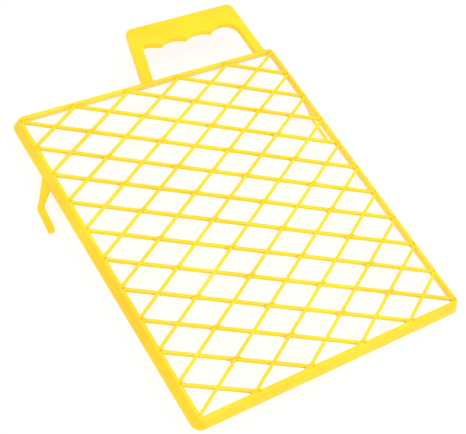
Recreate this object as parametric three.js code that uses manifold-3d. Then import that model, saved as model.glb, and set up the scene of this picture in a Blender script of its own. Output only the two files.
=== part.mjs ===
// Paint-roller grid for a bucket: a moulded yellow frame with a flared rim, a diamond lattice flush
// with its top, a hand grip on one short side and a hook under each long side.
// +X runs across the grid, +Y towards the hand grip and +Z out of the working face.
import * as THREE from "three";
import { mergeVertices } from "three/addons/utils/BufferGeometryUtils.js";
import Module from "manifold-3d";

const wasm = await Module();
wasm.setup();

// ---- Driving dimensions, in millimetres ----

// Diamond lattice: each cell is a rhombus whose long diagonal lies across the grid.
const cellWidth = 50;
const ribAngle = Math.PI / 6;
const cellLength = cellWidth * Math.tan(ribAngle);
const columns = 5;
const rows = 10;
const ribWidth = 2.7;
const ribDepth = 3;
const ribOverrun = 8;

// Rim: a skirt that flares outwards as it goes down, with rounded corners.
const rimHalfWidth = 125.6;
const rimHalfLength = 147.9;
const rimCornerRadius = 4.5;
const rimWall = 3.3;
const rimHeight = 10.3;
const rimFlare = 3.8;

// The whole grid grows wider towards the hand grip, by this share of its width per millimetre.
const gridTaper = 7.7e-5;

// Hooks: flat plates that hang from the long sides and lean outwards. Each has an arm that
// narrows downwards and a finger that points away from the hand grip. Their outline's points
// are (position along the grid, distance down the plate from the rim's lower edge).
const hookTilt = THREE.MathUtils.degToRad(26);
const hookThickness = 2.3;
const hookRootFront = new THREE.Vector2(79.5, 0);
const hookRootBack = new THREE.Vector2(92, 0);
const hookArmBack = new THREE.Vector2(80.2, 16);
const hookHeel = new THREE.Vector2(77.6, 21.4);
const hookTipLow = new THREE.Vector2(51.9, 23.6);
const hookTipHigh = new THREE.Vector2(51.9, 17.9);
const hookThroat = new THREE.Vector2(74.6, 16);
const hookTipRadius = 2.6;
const hookThroatRadius = 2;
const hookRootRadius = 1.5;
const hookHeelRadius = 3;

// Hand grip: a bar with finger scallops, carried by a slanted and a straight leg.
const gripThickness = 6;
const gripTopLeft = new THREE.Vector2(6.4, 210.2);
const gripTopRight = new THREE.Vector2(118.6, 211.9);
const gripCornerRadius = 6.5;
const leftLegOuterSlope = 0.2535;
const leftLegInnerTop = new THREE.Vector2(11.8, 187.8);
const leftLegInnerSlope = 0.2624;
const rightLegInnerX = 109.2;

// Finger scallops: the cusps between them, and the arc that ends them at the right leg.
const scallopPitch = 26.4;
const scallopDepth = 3.7;
const endScallopDepth = 1.5;
const firstCusp = new THREE.Vector2(29.7, 183.9);
const cuspRise = 0.3;
const cuspCount = 3;
const innerCornerRadius = 11.7;
const innerCornerY = 189.7;

// The grip meets its legs where the inner corner's arc starts.
const legJoinY = innerCornerY - innerCornerRadius;

// ---- Heights, with z = 0 at the working face ----

const rimTop = 0;
const rimBottom = -rimHeight;
const ribBottom = -ribDepth;
const ribMiddle = -ribDepth / 2;
const gripBottom = -gripThickness;

const overshoot = 1;
const arcSegments = 8;

// ---- Taper ----

// Where a point at x of the untapered grid lies. The shift grows with x up to the rim's inner
// edge and stays the same across the rim, so that the rim's faces stay flat.
function taperedX(x, y) {
  const inside = rimHalfWidth - rimWall;
  return x + gridTaper * y * THREE.MathUtils.clamp(x, -inside, inside);
}

function tapered(geometry) {
  const position = geometry.getAttribute("position");
  for (let i = 0; i < position.count; i++) {
    position.setX(i, taperedX(position.getX(i), position.getY(i)));
  }
  return geometry;
}

// ---- Solids ----

function solidFrom(geometry) {
  geometry.deleteAttribute("normal");
  geometry.deleteAttribute("uv");
  const merged = mergeVertices(geometry, 1e-4);
  return new wasm.Manifold(
    new wasm.Mesh({
      numProp: 3,
      vertProperties: merged.attributes.position.array,
      triVerts: new Uint32Array(merged.index.array),
    }),
  );
}

function geometryFrom(solid) {
  const mesh = solid.getMesh();
  const geometry = new THREE.BufferGeometry();
  geometry.setAttribute("position", new THREE.BufferAttribute(mesh.vertProperties, 3));
  geometry.setIndex(new THREE.BufferAttribute(mesh.triVerts, 1));
  geometry.computeVertexNormals();
  return geometry;
}

function extrude(shape, low, high) {
  const geometry = new THREE.ExtrudeGeometry(shape, {
    depth: high - low,
    bevelEnabled: false,
    curveSegments: arcSegments,
  });
  return geometry.translate(0, 0, low);
}

function slab(shape, low, high) {
  return solidFrom(tapered(extrude(shape, low, high)));
}

// An upright block that is taller than the rim.
function box(lowX, highX, lowY, highY) {
  const geometry = new THREE.BoxGeometry(highX - lowX, highY - lowY, rimHeight + 2 * overshoot);
  geometry.translate((lowX + highX) / 2, (lowY + highY) / 2, (rimBottom + rimTop) / 2);
  return solidFrom(tapered(geometry));
}

// The rim's filled volume, moved inwards by inset, from one height to another.
// Its corners are arcs about one centre, so its sides keep their slope all the way round.
function rimVolume(inset, low, high) {
  const x = rimHalfWidth - rimCornerRadius;
  const y = rimHalfLength - rimCornerRadius;
  const shape = new THREE.Shape();
  shape.absarc(x, y, 1, 0, Math.PI / 2);
  shape.absarc(-x, y, 1, Math.PI / 2, Math.PI);
  shape.absarc(-x, -y, 1, Math.PI, Math.PI * 1.5);
  shape.absarc(x, -y, 1, Math.PI * 1.5, Math.PI * 2);
  const geometry = extrude(shape, low, high);
  const position = geometry.getAttribute("position");
  for (let i = 0; i < position.count; i++) {
    const centreX = Math.sign(position.getX(i)) * x;
    const centreY = Math.sign(position.getY(i)) * y;
    const drop = rimTop - position.getZ(i);
    const radius = rimCornerRadius - inset + (rimFlare * drop) / rimHeight;
    position.setX(i, centreX + (position.getX(i) - centreX) * radius);
    position.setY(i, centreY + (position.getY(i) - centreY) * radius);
  }
  return solidFrom(tapered(geometry));
}

const rimOutside = rimVolume(0, rimBottom - overshoot, rimTop + overshoot);
const rimInside = rimVolume(rimWall, rimBottom - overshoot, rimTop + overshoot);

// ---- Rim: four walls and four corners ----

function rimPieces() {
  const ring = rimVolume(0, rimBottom, rimTop).subtract(rimInside);
  const x = rimHalfWidth - rimCornerRadius;
  const y = rimHalfLength - rimCornerRadius;
  const far = rimHalfLength + rimFlare + overshoot;
  const pieces = {
    rim_left_wall: box(-far, 0, -y, y),
    rim_right_wall: box(0, far, -y, y),
    rim_handle_wall: box(-x, x, 0, far),
    rim_foot_wall: box(-x, x, -far, 0),
    rim_corner_handle_left: box(-far, -x, y, far),
    rim_corner_handle_right: box(x, far, y, far),
    rim_corner_foot_left: box(-far, -x, -far, -y),
    rim_corner_foot_right: box(x, far, -far, -y),
  };
  for (const name of Object.keys(pieces)) {
    pieces[name] = ring.intersect(pieces[name]);
  }
  return pieces;
}

// ---- Lattice: falling ribs cross rising ribs, halved into each other ----

function latticeNode(column, row) {
  const x = (column - columns / 2) * cellWidth;
  const y = (rows / 2 - row) * cellLength;
  return new THREE.Vector2(taperedX(x, y), y);
}

// A straight bar between the first and the last lattice node of a rib, lengthened at both ends
// into the rim. lean is 1 for a rib that rises towards +X and -1 for one that falls, and row is
// the one in which the rib's line would meet the left side.
function ribBar(lean, row, low, high) {
  const firstColumn = Math.max(0, lean < 0 ? -row : row - rows);
  const lastColumn = Math.min(columns, lean < 0 ? rows - row : row);
  const first = latticeNode(firstColumn, row - lean * firstColumn);
  const last = latticeNode(lastColumn, row - lean * lastColumn);
  const along = last.clone().sub(first).normalize();
  const across = new THREE.Vector2(-along.y, along.x).multiplyScalar(ribWidth / 2);
  const start = first.clone().addScaledVector(along, -ribOverrun);
  const end = last.clone().addScaledVector(along, ribOverrun);
  const shape = new THREE.Shape([
    start.clone().sub(across),
    end.clone().sub(across),
    end.clone().add(across),
    start.clone().add(across),
  ]);
  return solidFrom(extrude(shape, low, high));
}

// All bars of one family. Rows count down the left side from the corner at the hand grip, and
// the bars of rows beyond that side meet the short sides instead. The bar that would only touch
// a corner is left out at both ends.
function bars(lean, low, high) {
  const firstRow = lean < 0 ? 1 - columns : 1;
  const family = [];
  for (let i = 0; i < columns + rows - 1; i++) {
    family.push(ribBar(lean, firstRow + i, low, high));
  }
  return family;
}

function latticePieces() {
  const pieces = {};
  const risingNotches = wasm.Manifold.union(bars(1, ribBottom - overshoot, ribMiddle));
  const fallingNotches = wasm.Manifold.union(bars(-1, ribMiddle, rimTop + overshoot));
  bars(-1, ribBottom, rimTop).forEach((bar, index) => {
    const name = "falling_rib_" + String(index + 1).padStart(2, "0");
    pieces[name] = bar.intersect(rimInside).subtract(risingNotches);
  });
  bars(1, ribBottom, rimTop).forEach((bar, index) => {
    const name = "rising_rib_" + String(index + 1).padStart(2, "0");
    pieces[name] = bar.intersect(rimInside).subtract(fallingNotches);
  });
  return pieces;
}

// ---- Hand grip ----

function leftLegOuterX(y) {
  return gripTopLeft.x - (gripTopLeft.y - y) * leftLegOuterSlope;
}

function leftLegInnerX(y) {
  return leftLegInnerTop.x - (leftLegInnerTop.y - y) * leftLegInnerSlope;
}

// Rounds the corner where a path bends, with an arc tangent to both of its sides.
function roundCorner(path, from, corner, to, radius) {
  const inward = from.clone().sub(corner).normalize();
  const outward = to.clone().sub(corner).normalize();
  const halfAngle = Math.acos(inward.dot(outward)) / 2;
  const tangent = radius / Math.tan(halfAngle);
  const middle = inward.clone().add(outward).normalize();
  const centre = corner.clone().addScaledVector(middle, radius / Math.sin(halfAngle));
  const start = corner.clone().addScaledVector(inward, tangent);
  const end = corner.clone().addScaledVector(outward, tangent);
  const startAngle = Math.atan2(start.y - centre.y, start.x - centre.x);
  const endAngle = Math.atan2(end.y - centre.y, end.x - centre.x);
  const clockwise = inward.cross(outward) > 0;
  path.absarc(centre.x, centre.y, radius, startAngle, endAngle, clockwise);
}

// A shallow finger scallop from one point to the next, bulging towards +Y.
function addScallop(path, to, depth) {
  const from = path.currentPoint.clone();
  const halfChord = from.distanceTo(to) / 2;
  const radius = (halfChord ** 2 + depth ** 2) / (2 * depth);
  const middle = from.clone().add(to).multiplyScalar(0.5);
  const normal = new THREE.Vector2(from.y - to.y, to.x - from.x).normalize();
  if (normal.y > 0) {
    normal.negate();
  }
  const centre = middle.addScaledVector(normal, radius - depth);
  const startAngle = Math.atan2(from.y - centre.y, from.x - centre.x);
  const endAngle = Math.atan2(to.y - centre.y, to.x - centre.x);
  path.absarc(centre.x, centre.y, radius, startAngle, endAngle, to.x > from.x);
}

function cusp(index) {
  const along = new THREE.Vector2(scallopPitch, cuspRise);
  return firstCusp.clone().addScaledVector(along, index);
}

function gripShape() {
  const leftFoot = new THREE.Vector2(leftLegOuterX(legJoinY), legJoinY);
  const rightFoot = new THREE.Vector2(gripTopRight.x, legJoinY);
  const rightLegInner = new THREE.Vector2(rightLegInnerX, rimHalfLength);
  const innerCorner = new THREE.Vector2(rightLegInnerX, innerCornerY);
  const towardsScallops = new THREE.Vector2(leftLegInnerTop.x, innerCornerY);
  const shape = new THREE.Shape();
  shape.moveTo(leftLegInnerX(legJoinY), legJoinY);
  shape.lineTo(leftFoot.x, leftFoot.y);
  roundCorner(shape, leftFoot, gripTopLeft, gripTopRight, gripCornerRadius);
  roundCorner(shape, gripTopLeft, gripTopRight, rightFoot, gripCornerRadius);
  shape.lineTo(rightFoot.x, rightFoot.y);
  roundCorner(shape, rightLegInner, innerCorner, towardsScallops, innerCornerRadius);
  addScallop(shape, cusp(cuspCount - 1), endScallopDepth);
  for (let i = cuspCount - 2; i >= 0; i--) {
    addScallop(shape, cusp(i), scallopDepth);
  }
  addScallop(shape, leftLegInnerTop, endScallopDepth);
  shape.closePath();
  return shape;
}

function handlePieces() {
  const inRim = rimHalfLength - overshoot;
  const leftLeg = new THREE.Shape([
    new THREE.Vector2(leftLegOuterX(inRim), inRim),
    new THREE.Vector2(leftLegInnerX(inRim), inRim),
    new THREE.Vector2(leftLegInnerX(legJoinY), legJoinY),
    new THREE.Vector2(leftLegOuterX(legJoinY), legJoinY),
  ]);
  const rightLeg = new THREE.Shape([
    new THREE.Vector2(rightLegInnerX, inRim),
    new THREE.Vector2(gripTopRight.x, inRim),
    new THREE.Vector2(gripTopRight.x, legJoinY),
    new THREE.Vector2(rightLegInnerX, legJoinY),
  ]);
  return {
    handle_left_leg: slab(leftLeg, gripBottom, rimTop).subtract(rimOutside),
    handle_right_leg: slab(rightLeg, gripBottom, rimTop).subtract(rimOutside),
    handle_grip: slab(gripShape(), gripBottom, rimTop),
  };
}

// ---- Hooks ----

function hookShape() {
  const shape = new THREE.Shape();
  shape.moveTo(hookRootBack.x, hookRootBack.y);
  shape.lineTo(hookArmBack.x, hookArmBack.y);
  roundCorner(shape, hookArmBack, hookHeel, hookTipLow, hookHeelRadius);
  roundCorner(shape, hookHeel, hookTipLow, hookTipHigh, hookTipRadius);
  roundCorner(shape, hookTipLow, hookTipHigh, hookThroat, hookTipRadius);
  roundCorner(shape, hookTipHigh, hookThroat, hookRootFront, hookThroatRadius);
  roundCorner(shape, hookThroat, hookRootFront, new THREE.Vector2(0, 0), hookRootRadius);
  shape.closePath();
  return shape;
}

// side is -1 for the left hook and 1 for the right one.
function hookSolid(side) {
  const geometry = extrude(hookShape(), 0, hookThickness);
  const plate = new THREE.Matrix4().makeBasis(
    new THREE.Vector3(0, 1, 0),
    new THREE.Vector3(side * Math.sin(hookTilt), 0, -Math.cos(hookTilt)),
    new THREE.Vector3(-side, 0, 0),
  );
  plate.setPosition(side * (rimHalfWidth + rimFlare), 0, rimBottom);
  geometry.applyMatrix4(plate);
  return solidFrom(tapered(plate.determinant() < 0 ? turnedInsideOut(geometry) : geometry));
}

// Reverses each face, for a shape that a mirroring matrix has turned inside out.
function turnedInsideOut(geometry) {
  const turned = geometry.index ? geometry.toNonIndexed() : geometry.clone();
  const position = turned.getAttribute("position");
  const first = new THREE.Vector3();
  const second = new THREE.Vector3();
  for (let i = 0; i < position.count; i += 3) {
    first.fromBufferAttribute(position, i + 1);
    second.fromBufferAttribute(position, i + 2);
    position.setXYZ(i + 1, ...second.toArray());
    position.setXYZ(i + 2, ...first.toArray());
  }
  return turned;
}

// ---- Assembly ----

const yellowPlastic = { color: 0xfbe035, roughness: 0.42, metalness: 0 };

const grid = new THREE.Group();

const solids = {
  ...rimPieces(),
  ...latticePieces(),
  ...handlePieces(),
  hook_left: hookSolid(-1),
  hook_right: hookSolid(1),
};

for (const [name, solid] of Object.entries(solids)) {
  const material = new THREE.MeshStandardMaterial(yellowPlastic);
  const mesh = new THREE.Mesh(geometryFrom(solid), material);
  mesh.name = name;
  grid.add(mesh);
}

// The origin is the middle of the footprint, at the level of the hooks' lowest edge.
const extent = new THREE.Box3().setFromObject(grid);
const middle = extent.getCenter(new THREE.Vector3());
grid.position.set(-middle.x, -middle.y, -extent.min.z);

const root = new THREE.Group();
root.add(grid);

export default root;
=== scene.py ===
"""Looks of the paint-roller grid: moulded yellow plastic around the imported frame, in metres."""

import math

import bmesh
import bpy
from mathutils import Matrix, Vector


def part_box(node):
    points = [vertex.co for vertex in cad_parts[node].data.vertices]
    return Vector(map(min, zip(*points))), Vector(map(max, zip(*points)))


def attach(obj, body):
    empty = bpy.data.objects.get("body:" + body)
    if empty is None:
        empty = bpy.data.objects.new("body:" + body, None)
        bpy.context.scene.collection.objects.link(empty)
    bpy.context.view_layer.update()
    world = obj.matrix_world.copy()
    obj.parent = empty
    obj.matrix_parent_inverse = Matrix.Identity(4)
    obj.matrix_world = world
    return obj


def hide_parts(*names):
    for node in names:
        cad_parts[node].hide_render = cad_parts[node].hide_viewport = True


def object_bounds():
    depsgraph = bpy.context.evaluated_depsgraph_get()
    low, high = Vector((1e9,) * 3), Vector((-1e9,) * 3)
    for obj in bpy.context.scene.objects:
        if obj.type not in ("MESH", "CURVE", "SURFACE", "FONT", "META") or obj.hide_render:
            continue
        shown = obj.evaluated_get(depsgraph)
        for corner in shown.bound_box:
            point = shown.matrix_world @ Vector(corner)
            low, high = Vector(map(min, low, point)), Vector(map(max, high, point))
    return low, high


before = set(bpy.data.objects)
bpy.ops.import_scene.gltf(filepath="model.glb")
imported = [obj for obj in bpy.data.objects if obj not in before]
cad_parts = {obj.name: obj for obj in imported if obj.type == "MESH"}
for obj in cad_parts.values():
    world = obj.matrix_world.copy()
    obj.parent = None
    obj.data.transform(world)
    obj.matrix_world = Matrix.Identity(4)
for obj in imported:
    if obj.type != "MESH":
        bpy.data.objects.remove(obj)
cad_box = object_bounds()

# ---- Driving dimensions, in metres ----

MM = 0.001
CELL_WIDTH = 50 * MM
RIB_ANGLE = math.radians(30)
CELL_LENGTH = CELL_WIDTH * math.tan(RIB_ANGLE)
COLUMNS = 5
ROWS = 10
GRID_TAPER = 7.7e-5 / MM
RIB_WIDTH = 2.7 * MM
RIB_DRAFT = 0.15 * MM
RIB_ROUND = 0.45 * MM
RIB_ROUND_ANGLES = [0, 30, 60, 90]
FILLET_RADIUS = 1.5 * MM
FILLET_STEPS = 6
FILLET_BACKING = 0.3
REACH_AT_LONG_SIDE = -0.8 * MM
REACH_AT_SHORT_SIDE = 3.5 * MM
SUNK = 0.02 * MM

RIM_HALF_WIDTH = 125.6 * MM
RIM_HALF_LENGTH = 147.9 * MM
RIM_CORNER_RADIUS = 4.5 * MM
RIM_WALL = 3.3 * MM
RIM_FLARE = 3.8 * MM
RIM_ROUND = 0.55 * MM
RIM_ROUND_STEPS = 3
CORNER_STEPS = 12
WALL_STEPS = 24
HANDLE_ROUND = 1.3 * MM
HOOK_ROUND = 0.6 * MM

WELD_DISTANCE = 0.003 * MM
FLAT_ANGLE = math.radians(1)
SHARP_ANGLE = math.radians(32)
ROUNDED_ANGLE = math.radians(35)

CAMERA_TARGET = Vector((-8.98, -34.75, 31.3)) * MM
CAMERA_DISTANCE = 853.12 * MM
CAMERA_DIRECTION = Vector((-0.473781, -0.41067, 0.779026))
CAMERA_ROLL = math.radians(22.14)
CAMERA_LENS = 81.94

# ---- Places taken from the frame ----

foot_low, foot_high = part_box("rim_foot_wall")
left_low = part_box("rim_left_wall")[0]
right_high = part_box("rim_right_wall")[1]
back_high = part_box("rim_handle_wall")[1]
rib_low, rib_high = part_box("falling_rib_07")
grip_low, grip_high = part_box("handle_grip")
lattice_centre = Vector(((left_low.x + right_high.x) / 2, (foot_low.y + back_high.y) / 2))
rim_bottom, rim_top = foot_low.z, foot_high.z

HANDLE_NODES = ["handle_left_leg", "handle_grip", "handle_right_leg"]


# ---- Material ----


def add_node(tree, kind, **inputs):
    node = tree.nodes.new(kind)
    for name, value in inputs.items():
        node.inputs[name.replace("_", " ")].default_value = value
    return node


def noise(tree, coordinates, scale, detail, roughness=0.5):
    node = add_node(tree, "ShaderNodeTexNoise", Scale=scale, Detail=detail, Roughness=roughness)
    tree.links.new(coordinates, node.inputs["Vector"])
    return node.outputs["Fac"]


def ramp(tree, factor, stops):
    node = tree.nodes.new("ShaderNodeValToRGB")
    elements = node.color_ramp.elements
    for element, (position, colour) in zip(elements, stops):
        element.position = position
        element.color = colour
    for position, colour in stops[2:]:
        elements.new(position).color = colour
    tree.links.new(factor, node.inputs["Fac"])
    return node.outputs["Color"]


def remap(tree, factor, low, high):
    node = tree.nodes.new("ShaderNodeMapRange")
    node.inputs["To Min"].default_value = low
    node.inputs["To Max"].default_value = high
    tree.links.new(factor, node.inputs["Value"])
    return node.outputs["Result"]


def bump(tree, height, distance, strength, below=None):
    node = add_node(tree, "ShaderNodeBump", Strength=strength, Distance=distance)
    tree.links.new(height, node.inputs["Height"])
    if below is not None:
        tree.links.new(below, node.inputs["Normal"])
    return node.outputs["Normal"]


def moulded_plastic(name):
    """Satin yellow polypropylene: cloudy colour, uneven gloss, spark-eroded grain and slow sink waves."""
    material = bpy.data.materials.new(name)
    material.use_nodes = True
    tree = material.node_tree
    shader = tree.nodes["Principled BSDF"]
    coordinates = tree.nodes.new("ShaderNodeTexCoord").outputs["Object"]
    clouds = noise(tree, coordinates, 22, 3)
    colour = ramp(
        tree,
        clouds,
        [(0.3, (0.96, 0.615, 0.001, 1)), (0.7, (0.99, 0.71, 0.004, 1))],
    )
    tree.links.new(colour, shader.inputs["Base Color"])
    scuffs = noise(tree, coordinates, 160, 4, 0.65)
    tree.links.new(remap(tree, scuffs, 0.20, 0.42), shader.inputs["Roughness"])
    waves = bump(tree, noise(tree, coordinates, 60, 2), 0.3 * MM, 0.25)
    grain = bump(tree, noise(tree, coordinates, 2600, 2), 0.03 * MM, 0.35, below=waves)
    tree.links.new(grain, shader.inputs["Normal"])
    shader.inputs["Subsurface Weight"].default_value = 0.25
    shader.inputs["Subsurface Radius"].default_value = (1.0, 0.7, 0.05)
    shader.inputs["Subsurface Scale"].default_value = 3 * MM
    shader.inputs["IOR"].default_value = 1.49
    shader.inputs["Specular IOR Level"].default_value = 0.35
    return material


plastic = moulded_plastic("moulded_yellow_plastic")


# ---- Mesh helpers ----


def make_object(name, mesh):
    obj = bpy.data.objects.new(name, mesh)
    bpy.context.scene.collection.objects.link(obj)
    mesh.materials.clear()
    mesh.materials.append(plastic)
    mesh.polygons.foreach_set("use_smooth", [True] * len(mesh.polygons))
    mesh.set_sharp_from_angle(angle=SHARP_ANGLE)
    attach(obj, "root")
    return obj


def mesh_from(bm, name):
    """A mesh of the bmesh, kept inside the CAD model's box."""
    low, high = cad_box
    for vert in bm.verts:
        vert.co = [max(a, min(b, c)) for a, b, c in zip(low, high, vert.co)]
    bmesh.ops.recalc_face_normals(bm, faces=bm.faces)
    mesh = bpy.data.meshes.new(name)
    bm.to_mesh(mesh)
    bm.free()
    return mesh


def welded(node):
    """A bmesh of one CAD node, with its doubled vertices and its flat seams merged."""
    bm = bmesh.new()
    bm.from_mesh(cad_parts[node].data)
    bmesh.ops.remove_doubles(bm, verts=bm.verts, dist=WELD_DISTANCE)
    bmesh.ops.dissolve_limit(bm, angle_limit=FLAT_ANGLE, verts=bm.verts, edges=bm.edges)
    return bm


def add_ring_faces(bm, rings, closed):
    """Faces between neighbouring rings of vertices."""
    for ring, following in zip(rings, rings[1:]):
        count = len(ring)
        for i in range(count if closed else count - 1):
            j = (i + 1) % count
            bm.faces.new((ring[i], ring[j], following[j], following[i]))


def drop_shared_faces(bm, planes):
    """Removes the faces that lie in one of the planes (point, normal)."""
    inner = []
    for face in bm.faces:
        for point, normal in planes:
            aligned = abs(face.normal.dot(normal)) > 0.999
            if aligned and abs((face.calc_center_median() - point).dot(normal)) < 0.01 * MM:
                inner.append(face)
                break
    bmesh.ops.delete(bm, geom=inner, context="FACES")


def round_edges(bm, radius, segments, keep=lambda edge: True):
    edges = []
    for edge in bm.edges:
        if len(edge.link_faces) != 2:
            continue
        if edge.calc_face_angle(0) > ROUNDED_ANGLE and keep(edge):
            edges.append(edge)
    bmesh.ops.bevel(
        bm,
        geom=edges,
        offset=radius,
        offset_type="OFFSET",
        segments=segments,
        profile=0.5,
        affect="EDGES",
        clamp_overlap=True,
    )


def part_between(bm, cuts):
    """A copy of the bmesh, kept only on the inner side of each cut (point, outward normal), and capped."""
    part = bm.copy()
    for point, normal in cuts:
        geometry = part.verts[:] + part.edges[:] + part.faces[:]
        done = bmesh.ops.bisect_plane(
            part,
            geom=geometry,
            plane_co=point,
            plane_no=normal,
            clear_outer=True,
            dist=0.001 * MM,
        )
        rim_edges = [e for e in done["geom_cut"] if isinstance(e, bmesh.types.BMEdge)]
        bmesh.ops.holes_fill(part, edges=rim_edges, sides=0)
    return part


X = Vector((1, 0, 0))
Y = Vector((0, 1, 0))


# ---- Rim ----


def tapered(point):
    """Where a point of the untapered grid, measured from the lattice's centre, lies in the frame."""
    inside = RIM_HALF_WIDTH - RIM_WALL
    shift = GRID_TAPER * point.y * max(-inside, min(inside, point.x))
    return lattice_centre + Vector((point.x + shift, point.y))


def rim_section():
    """The rim's section as (distance out from its top outer edge, height), with rounded edges."""
    corners = [
        (0, rim_top),
        (RIM_FLARE, rim_bottom),
        (RIM_FLARE - RIM_WALL, rim_bottom),
        (-RIM_WALL, rim_top),
    ]
    section = []
    for i, corner in enumerate(corners):
        place = Vector(corner)
        before = (Vector(corners[i - 1]) - place).normalized()
        after = (Vector(corners[(i + 1) % 4]) - place).normalized()
        half_angle = before.angle(after) / 2
        centre = place + (before + after).normalized() * (RIM_ROUND / math.sin(half_angle))
        start = place + before * (RIM_ROUND / math.tan(half_angle)) - centre
        end = place + after * (RIM_ROUND / math.tan(half_angle)) - centre
        for step in range(RIM_ROUND_STEPS + 1):
            direction = start.slerp(end, step / RIM_ROUND_STEPS).normalized()
            section.append(centre + direction * RIM_ROUND)
    return section


def add_rim_ring(bm, section, centre, direction):
    """A ring of vertices of the rim's section, set out from a corner's centre or a wall's foot."""
    ring = []
    for distance, z in section:
        place = tapered(centre + direction * (RIM_CORNER_RADIUS + distance))
        ring.append(bm.verts.new((place.x, place.y, z)))
    return ring


def rim_piece(name, stations):
    """One wall or corner of the rim, swept through its stations (centre, direction) and capped."""
    bm = bmesh.new()
    section = rim_section()
    rings = [add_rim_ring(bm, section, centre, direction) for centre, direction in stations]
    add_ring_faces(bm, rings, closed=True)
    bm.faces.new(rings[0])
    bm.faces.new(reversed(rings[-1]))
    obj = make_object(name + "_moulded", mesh_from(bm, name + "_moulded"))
    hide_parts(name)


def build_rim():
    x = RIM_HALF_WIDTH - RIM_CORNER_RADIUS
    y = RIM_HALF_LENGTH - RIM_CORNER_RADIUS
    corners = {
        "rim_corner_handle_right": (Vector((x, y)), 0),
        "rim_corner_handle_left": (Vector((-x, y)), 90),
        "rim_corner_foot_left": (Vector((-x, -y)), 180),
        "rim_corner_foot_right": (Vector((x, -y)), 270),
    }
    for name, (centre, first_angle) in corners.items():
        stations = []
        for step in range(CORNER_STEPS + 1):
            angle = math.radians(first_angle + 90 * step / CORNER_STEPS)
            stations.append((centre, Vector((math.cos(angle), math.sin(angle)))))
        rim_piece(name, stations)
    walls = {
        "rim_right_wall": (Vector((x, -y)), Vector((x, y)), Vector((1, 0))),
        "rim_handle_wall": (Vector((x, y)), Vector((-x, y)), Vector((0, 1))),
        "rim_left_wall": (Vector((-x, y)), Vector((-x, -y)), Vector((-1, 0))),
        "rim_foot_wall": (Vector((-x, -y)), Vector((x, -y)), Vector((0, -1))),
    }
    for name, (start, end, direction) in walls.items():
        stations = []
        for step in range(WALL_STEPS + 1):
            stations.append((start.lerp(end, step / WALL_STEPS), direction))
        rim_piece(name, stations)


# ---- Lattice ----


def rib_profile():
    """Half a rib's section as (inset, height) from its lower to its upper edge, with rounded edges."""
    low, high = rib_low.z, rib_high.z
    lower = []
    upper = []
    for angle in RIB_ROUND_ANGLES:
        sine, cosine = math.sin(math.radians(angle)), math.cos(math.radians(angle))
        lower.append((RIB_DRAFT + RIB_ROUND * (1 - sine), low + RIB_ROUND * (1 - cosine)))
        upper.append((RIB_ROUND * (1 - cosine), high - RIB_ROUND * (1 - sine)))
    return lower + upper


def lattice_node(column, row):
    return tapered(
        Vector(((column - COLUMNS / 2) * CELL_WIDTH, (ROWS / 2 - row) * CELL_LENGTH))
    )


def add_bar(bm, start, end, sink):
    """A rib's straight bar between two points of the lattice's plane.

    sink draws its top and bottom inwards, so that they don't flicker against the ribs they cross.
    """
    along = (end - start).normalized()
    across = Vector((-along.y, along.x))
    rib_middle = (rib_low.z + rib_high.z) / 2
    profile = rib_profile()
    section = [(RIB_WIDTH / 2 - inset, z) for inset, z in profile]
    section += [(-(RIB_WIDTH / 2 - inset), z) for inset, z in reversed(profile)]
    rings = []
    for point in (start, end):
        ring = []
        for offset, z in section:
            place = point + across * offset
            inward = -sink if z > rib_middle else sink
            ring.append(bm.verts.new((place.x, place.y, z + inward)))
        rings.append(ring)
    add_ring_faces(bm, rings, closed=True)
    bm.faces.new(rings[0])
    bm.faces.new(reversed(rings[1]))


def add_fillet(bm, corner, first, second, radius, inner):
    """A hollow-cornered web in the corner between two straight sides.

    first and second are the directions of the two sides from the corner, and inner is a point
    inside the solid behind it.
    """
    half_angle = first.angle(second) / 2
    middle = (first + second).normalized()
    centre = corner + middle * (radius / math.sin(half_angle))
    start = corner + first * (radius / math.tan(half_angle)) - centre
    end = corner + second * (radius / math.tan(half_angle)) - centre
    total = start.angle_signed(end)
    profile = rib_profile()
    rings = []
    for i in range(FILLET_STEPS + 1):
        direction = (Matrix.Rotation(-total * i / FILLET_STEPS, 2) @ start).normalized()
        ring = []
        for inset, z in profile:
            place = centre + direction * (radius + inset)
            ring.append(bm.verts.new((place.x, place.y, z)))
        rings.append(ring)
    add_ring_faces(bm, rings, closed=False)
    top = bm.verts.new((inner.x, inner.y, profile[-1][1]))
    bottom = bm.verts.new((inner.x, inner.y, profile[0][1]))
    for ring, following in zip(rings, rings[1:]):
        bm.faces.new((ring[-1], following[-1], top))
        bm.faces.new((ring[0], bottom, following[0]))
    bm.faces.new([*rings[0], top, bottom])
    bm.faces.new([*reversed(rings[-1]), bottom, top])


def add_crossing_fillets(bm, node):
    """The four webs where a falling and a rising rib cross, as far as they lie inside the rim."""
    falling = Vector((math.cos(RIB_ANGLE), -math.sin(RIB_ANGLE)))
    rising = Vector((math.cos(RIB_ANGLE), math.sin(RIB_ANGLE)))
    side = RIB_WIDTH / 2 / math.sin(2 * RIB_ANGLE)
    for a, b in ((falling, rising), (-falling, -rising), (falling, -rising), (-falling, rising)):
        corner = node + (a + b) * side
        reach = corner + (a + b).normalized() * FILLET_RADIUS * 2
        if inside_rim(reach):
            add_fillet(bm, corner, a, b, FILLET_RADIUS, node + (a + b) * side * FILLET_BACKING)


def inside_rim(point):
    offset = point - lattice_centre
    inside_x = (RIM_HALF_WIDTH - RIM_WALL) * (1 + GRID_TAPER * offset.y)
    return abs(offset.x) < inside_x and abs(offset.y) < RIM_HALF_LENGTH - RIM_WALL


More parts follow.
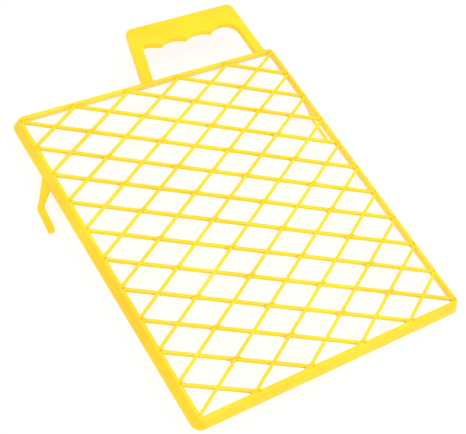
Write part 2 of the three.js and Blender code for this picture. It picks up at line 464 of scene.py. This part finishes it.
def rib_ends(lean, row):
    """The ends, inside the rim's wall, of the rib whose line meets the left side in a row."""
    first = max(0, -row if lean < 0 else row - ROWS)
    last = min(COLUMNS, ROWS - row if lean < 0 else row)
    start = lattice_node(first, row - lean * first)
    end = lattice_node(last, row - lean * last)
    along = (end - start).normalized()
    before = REACH_AT_LONG_SIDE if first == 0 else REACH_AT_SHORT_SIDE
    after = REACH_AT_LONG_SIDE if last == COLUMNS else REACH_AT_SHORT_SIDE
    return start - along * before, end + along * after


def build_rib(name, lean, row):
    bm = bmesh.new()
    start, end = rib_ends(lean, row)
    add_bar(bm, start, end, SUNK if lean > 0 else 0)
    if lean < 0:
        for column in range(COLUMNS + 1):
            if 0 <= row + column <= ROWS:
                add_crossing_fillets(bm, lattice_node(column, row + column))
    obj = make_object(name + "_moulded", mesh_from(bm, name + "_moulded"))
    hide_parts(name)


def build_lattice():
    for index in range(COLUMNS + ROWS - 1):
        build_rib(f"falling_rib_{index + 1:02d}", -1, index + 1 - COLUMNS)
        build_rib(f"rising_rib_{index + 1:02d}", 1, index + 1)


# ---- Hand grip and hooks ----


def build_handle():
    join = Vector((0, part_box("handle_left_leg")[1].y, 0))
    middle = Vector(((grip_low.x + grip_high.x) / 2, 0, 0))
    bm = bmesh.new()
    for node in HANDLE_NODES:
        bm.from_mesh(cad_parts[node].data)
    bmesh.ops.remove_doubles(bm, verts=bm.verts, dist=WELD_DISTANCE)
    drop_shared_faces(bm, [(join, Y)])
    bmesh.ops.dissolve_limit(bm, angle_limit=FLAT_ANGLE, verts=bm.verts, edges=bm.edges)
    foot = back_high.y - 0.1 * MM
    round_edges(bm, HANDLE_ROUND, 4, keep=lambda edge: max(v.co.y for v in edge.verts) > foot)
    cuts = {
        "handle_left_leg": [(join, Y), (middle, X)],
        "handle_right_leg": [(join, Y), (middle, -X)],
        "handle_grip": [(join, -Y)],
    }
    for node, planes in cuts.items():
        part = part_between(bm, planes)
        obj = make_object(node + "_moulded", mesh_from(part, node + "_moulded"))
        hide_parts(node)
    bm.free()


def build_hooks():
    for node in ("hook_left", "hook_right"):
        bm = welded(node)
        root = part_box(node)[1].z - 0.2 * MM
        round_edges(bm, HOOK_ROUND, 3, keep=lambda edge: min(v.co.z for v in edge.verts) < root)
        obj = make_object(node + "_moulded", mesh_from(bm, node + "_moulded"))
        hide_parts(node)


build_rim()
build_lattice()
build_handle()
build_hooks()


# ---- Studio ----


def build_floor():
    mesh = bpy.data.meshes.new("floor")
    size = 6
    level = cad_box[0].z
    corners = [(-size, -size, level), (size, -size, level), (size, size, level), (-size, size, level)]
    mesh.from_pydata(corners, [], [(0, 1, 2, 3)])
    floor = bpy.data.objects.new("floor", mesh)
    bpy.context.scene.collection.objects.link(floor)
    material = bpy.data.materials.new("floor_paper")
    material.use_nodes = True
    shader = material.node_tree.nodes["Principled BSDF"]
    shader.inputs["Base Color"].default_value = (0.25, 0.25, 0.25, 1)
    shader.inputs["Roughness"].default_value = 0.9
    shader.inputs["Specular IOR Level"].default_value = 0.1
    shader.inputs["Emission Color"].default_value = (1, 1, 1, 1)
    shader.inputs["Emission Strength"].default_value = 0.74
    mesh.materials.append(material)


def add_area_light(name, place, size, power):
    light = bpy.data.lights.new(name, "AREA")
    light.shape = "SQUARE"
    light.size = size
    light.energy = power
    obj = bpy.data.objects.new(name, light)
    obj.location = place
    obj.rotation_euler = (CAMERA_TARGET - Vector(place)).to_track_quat("-Z", "Y").to_euler()
    bpy.context.scene.collection.objects.link(obj)


def build_lights():
    world = bpy.data.worlds.new("studio")
    world.use_nodes = True
    background = world.node_tree.nodes["Background"]
    background.inputs["Color"].default_value = (1, 1, 1, 1)
    background.inputs["Strength"].default_value = 0.95
    bpy.context.scene.world = world
    add_area_light("top_softbox", (0.2, 0.1, 1.6), 1.6, 8)
    add_area_light("front_softbox", (0.5, -1.6, 0.7), 1.2, 4)


def build_camera():
    camera = bpy.data.objects.new("camera", bpy.data.cameras.new("camera"))
    camera.data.lens = CAMERA_LENS
    camera.data.sensor_width = 36
    camera.data.clip_start = 0.05
    direction = CAMERA_DIRECTION.normalized()
    camera.location = CAMERA_TARGET + direction * CAMERA_DISTANCE
    turn = direction.to_track_quat("Z", "Y").to_matrix().to_4x4()
    camera.matrix_world = (
        Matrix.Translation(camera.location) @ turn @ Matrix.Rotation(CAMERA_ROLL, 4, "Z")
    )
    bpy.context.scene.collection.objects.link(camera)
    bpy.context.scene.camera = camera


build_floor()
build_lights()
build_camera()
bpy.context.scene.view_settings.view_transform = "Standard"
